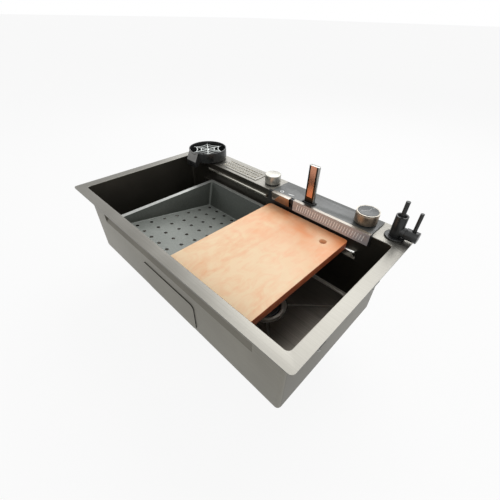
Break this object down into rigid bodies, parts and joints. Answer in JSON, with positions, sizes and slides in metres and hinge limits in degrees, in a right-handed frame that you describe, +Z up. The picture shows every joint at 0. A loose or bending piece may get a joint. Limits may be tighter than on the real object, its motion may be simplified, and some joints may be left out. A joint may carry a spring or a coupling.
{
  "type": "workstation kitchen sink",
  "caption": "Drop-in steel sink with a deep bowl, rear deck controls, waterfall and rain outlets, cup rinser, pull-out wand, tap, sliding board and colander.",
  "frame": {"origin": "middle of the rim outline in plan, on the underside of the rim plate, which is the top face of the worktop", "axes": "+X to the right along the long side, +Y to the rear deck, +Z up"},
  "size_m": [0.7563, 0.4535, 0.4299],
  "materials": {
    "gunmetal_steel": "brushed gunmetal steel with a fine lengthwise grain",
    "dark_sheet": "dark slate coated steel sheet, satin",
    "bright_steel": "bright polished steel",
    "gunmetal_knob": "satin gunmetal with a turned grain",
    "black_metal": "satin black coating",
    "black_glass": "gloss black glass",
    "black_plastic": "moulded black plastic",
    "grey_plastic": "moulded grey plastic",
    "pad_rubber": "matt sound-deadening rubber",
    "gasket_rubber": "black sealing rubber",
    "brass_fitting": "machined brass",
    "beech_board": "oiled warm wood in glued strips",
    "spring_wire": "drawn spring wire"
  },
  "bodies": {
    "sink": {"sink_bowl": "gunmetal_steel", "sound_pad_front": "pad_rubber", "sound_pad_back": "pad_rubber", "sound_pad_base_left": "pad_rubber", "sound_pad_base_right": "pad_rubber", "rinser_body": "black_metal", "rinser_nozzle": "black_plastic", "rinser_spring": "spring_wire", "rinser_shank": "brass_fitting", "rinser_nut": "black_plastic", "drip_tray": "dark_sheet", "drain_knob_base": "black_metal", "drain_knob_nut": "grey_plastic", "glass_panel": "black_glass", "mixer_knob_base": "black_metal", "mixer_valve": "brass_fitting", "mixer_valve_nut": "brass_fitting", "outlet_housing": "black_plastic", "rain_plate": "bright_steel", "waterfall_spout": "bright_steel", "wand_collar": "black_plastic", "wand_nut": "grey_plastic", "tap_flange": "black_metal", "tap_body": "black_metal", "tap_nut": "brass_fitting", "drain_flange": "bright_steel", "drain_gasket": "gasket_rubber", "drain_nut": "grey_plastic", "drain_body": "grey_plastic", "tailpiece": "grey_plastic", "overflow_cover": "bright_steel", "overflow_elbow": "grey_plastic", "overflow_pipe": "grey_plastic", "clip_front_left": "dark_sheet", "clip_screw_front_left": "bright_steel", "clip_front_right": "dark_sheet", "clip_screw_front_right": "bright_steel", "clip_rear_left": "dark_sheet", "clip_screw_rear_left": "bright_steel", "clip_rear_right": "dark_sheet", "clip_screw_rear_right": "bright_steel"},
    "rinser_press_grid": {"rinser_grid": "bright_steel"},
    "grille": {"drip_grille": "gunmetal_steel"},
    "left_knob": {"drain_knob": "bright_steel"},
    "drain_cover": {"drain_cover": "dark_sheet"},
    "right_knob": {"mixer_knob": "gunmetal_knob", "mixer_knob_ring": "bright_steel", "mixer_knob_glass": "black_glass"},
    "wand": {"wand_body": "bright_steel"},
    "top_lever": {"tap_top_pin": "black_metal"},
    "side_lever": {"tap_side_cap": "black_metal", "tap_side_pin": "black_metal"},
    "colander": {"colander": "dark_sheet"},
    "board": {"cutting_board": "beech_board"}
  },
  "joints": [
    {"name": "rinser_press", "type": "slide", "parent": "sink", "child": "rinser_press_grid", "axis": [0, 0, -1], "range_m": [0, 0.004], "stiffness_N_per_m": 600, "springref_m": -0.004, "deforming": ["rinser_spring"]},
    {"name": "grille_lift", "type": "slide", "parent": "sink", "child": "grille", "axis": [0, 0, 1], "range_m": [0, 0.02]},
    {"name": "left_knob_turn", "type": "hinge", "parent": "sink", "child": "left_knob", "pos_m": [-0.019, 0.187, 0.015], "axis": [0, 0, 1], "range_deg": [0, 90]},
    {"name": "drain_cover_lift", "type": "slide", "parent": "sink", "child": "drain_cover", "axis": [0, 0, 1], "range_m": [0, 0.008]},
    {"name": "right_knob_turn", "type": "hinge", "parent": "sink", "child": "right_knob", "pos_m": [0.2655, 0.187, 0.02], "axis": [0, 0, 1], "range_deg": [-60, 60]},
    {"name": "wand_lift", "type": "slide", "parent": "sink", "child": "wand", "axis": [0, 0, 1], "range_m": [0, 0.04]},
    {"name": "tap_top_lever", "type": "hinge", "parent": "sink", "child": "top_lever", "pos_m": [0.3365, 0.186, 0.049], "axis": [1, 0, 0], "range_deg": [-25, 25]},
    {"name": "tap_side_lever", "type": "hinge", "parent": "sink", "child": "side_lever", "pos_m": [0.364, 0.186, 0.02], "axis": [1, 0, 0], "range_deg": [-45, 45]},
    {"name": "colander_slide", "type": "slide", "parent": "sink", "child": "colander", "axis": [-1, 0, 0], "range_m": [0, 0.088]},
    {"name": "board_slide", "type": "slide", "parent": "sink", "child": "board", "axis": [1, 0, 0], "range_m": [0, 0.088]}
  ],
  "couplings": [
    {"joint": "drain_cover_lift", "follows": "left_knob_turn", "m_per_rad": 0.00509}
  ]
}
